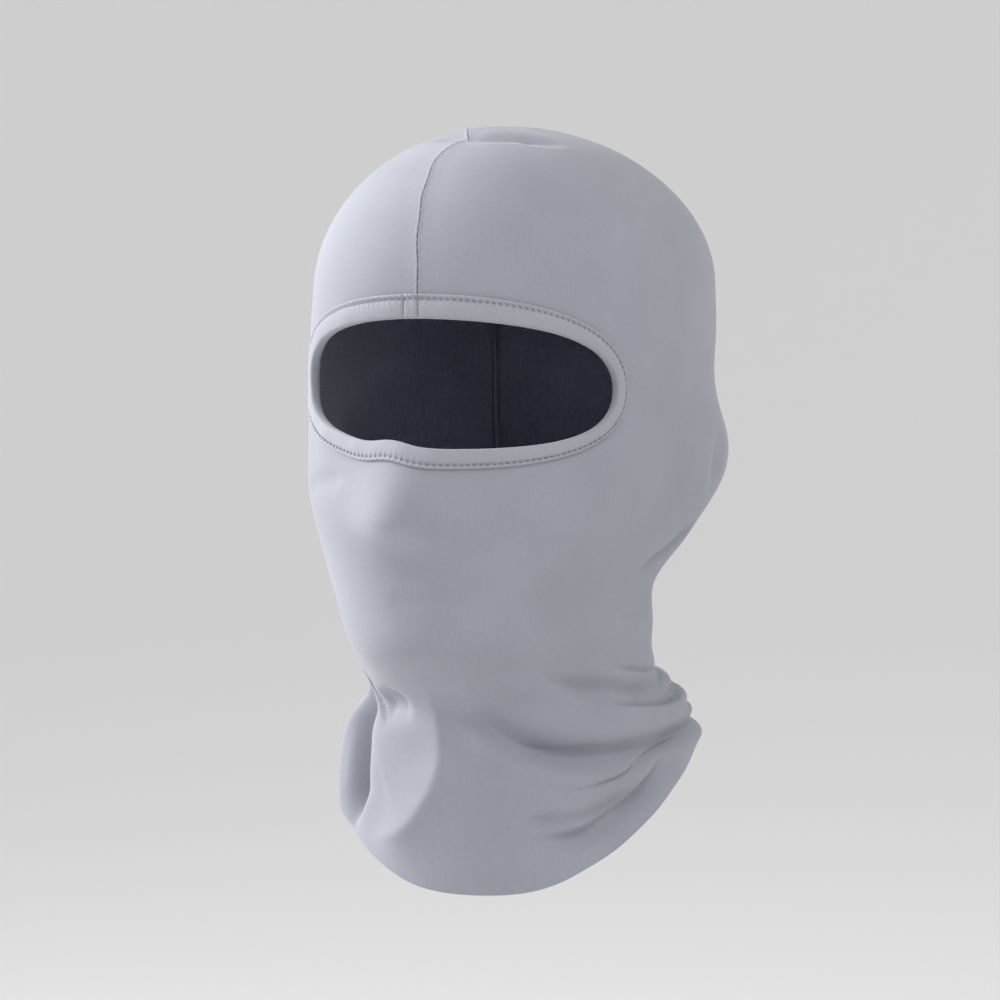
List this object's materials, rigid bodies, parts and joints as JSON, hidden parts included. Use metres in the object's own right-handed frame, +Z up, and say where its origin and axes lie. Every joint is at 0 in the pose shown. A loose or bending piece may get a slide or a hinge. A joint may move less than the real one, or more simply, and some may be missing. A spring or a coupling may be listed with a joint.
{
  "type": "balaclava",
  "caption": "Knitted full-head hood with an oblong bound eye opening, a middle seam over the crown and a neck skirt that hangs lower at the front.",
  "frame": {"origin": "centre of the head cavity at the height of the eyes (mount head_seat)", "axes": "the wearer looks along -Y, +X is the wearer's left, +Z is up; the head leaves the hood along -Z"},
  "size_m": [0.164, 0.2109, 0.2935],
  "materials": {
    "face_knit": "matte fine jersey, cool light grey",
    "lining_knit": "matte brushed knit, navy black",
    "binding_knit": "matte fine rib, cool light grey",
    "grey_thread": "matte polyester thread",
    "dark_thread": "matte polyester thread"
  },
  "bodies": {
    "root": {"hood_shell": "face_knit", "hood_lining": "lining_knit", "seam_allowance": "lining_knit", "eye_binding": "binding_knit", "binding_needle_thread": "grey_thread", "binding_looper_thread": "dark_thread", "binding_join_thread": "grey_thread", "seam_needle_thread": "grey_thread", "seam_upper_looper_thread": "dark_thread", "seam_lower_looper_thread": "dark_thread"}
  },
  "joints": []
}
